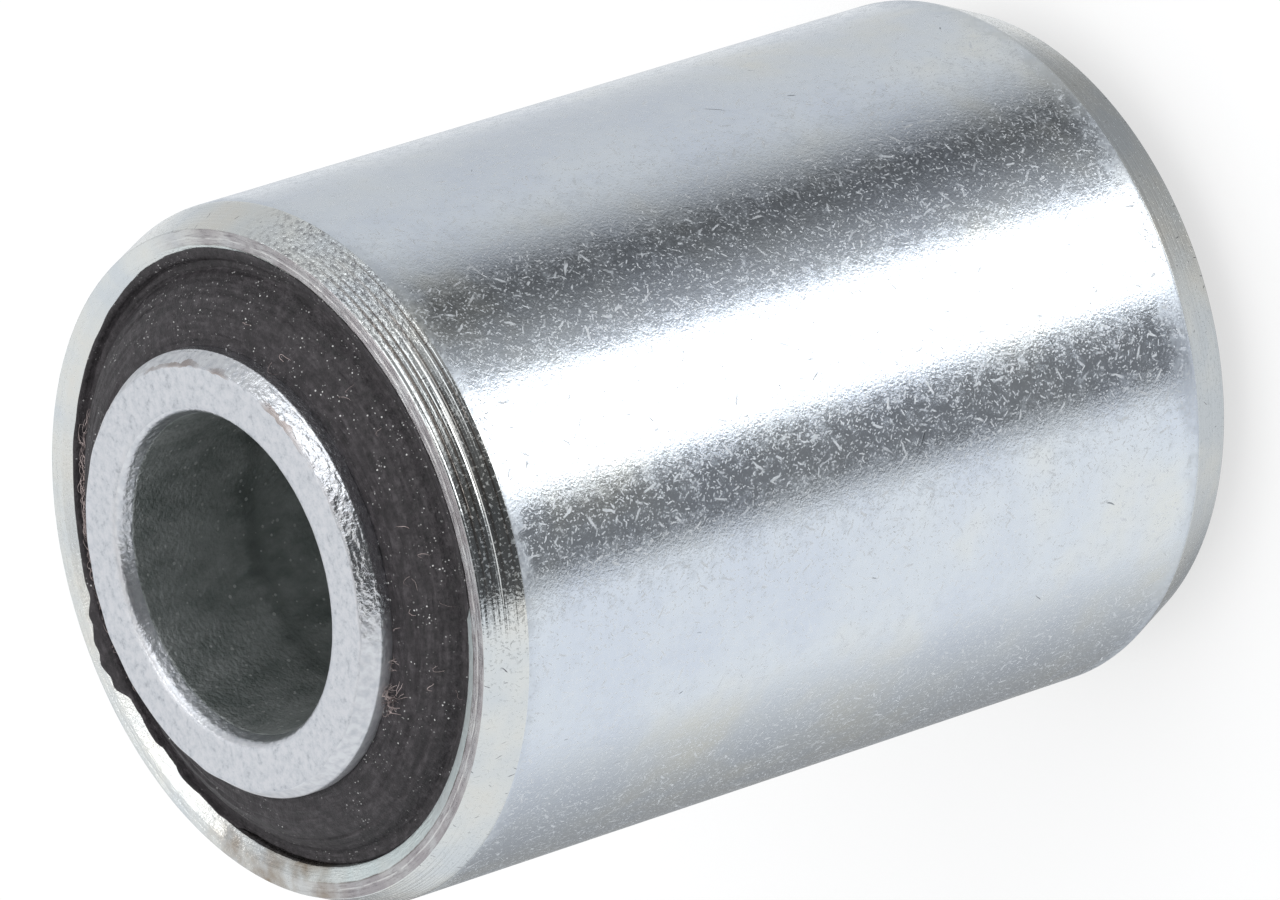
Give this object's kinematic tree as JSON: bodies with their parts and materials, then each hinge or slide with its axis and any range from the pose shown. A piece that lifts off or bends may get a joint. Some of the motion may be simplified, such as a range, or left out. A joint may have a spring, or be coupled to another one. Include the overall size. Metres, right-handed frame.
{
  "type": "rubber-metal bush",
  "caption": "Cylindrical anti-vibration bush: a zinc-plated steel sleeve and a longer steel bolt tube with a rubber ring bonded between them.",
  "frame": {"origin": "centre of the bolt bore, in the plane of the inner tube's lower end face", "axes": "+Z along the bore axis, from the end that the bush stands on to the end that the picture shows; X and Y are free, as the bush is round"},
  "size_m": [0.022, 0.022, 0.033],
  "materials": {
    "outer_sleeve": "bright zinc plate, lightly scuffed",
    "rubber_element": "matt moulded rubber",
    "inner_tube": "matt zinc plate on a sawn and tumbled end"
  },
  "bodies": {
    "root": {"outer_sleeve": "outer_sleeve", "rubber_element": "rubber_element", "inner_tube": "inner_tube"}
  },
  "joints": []
}
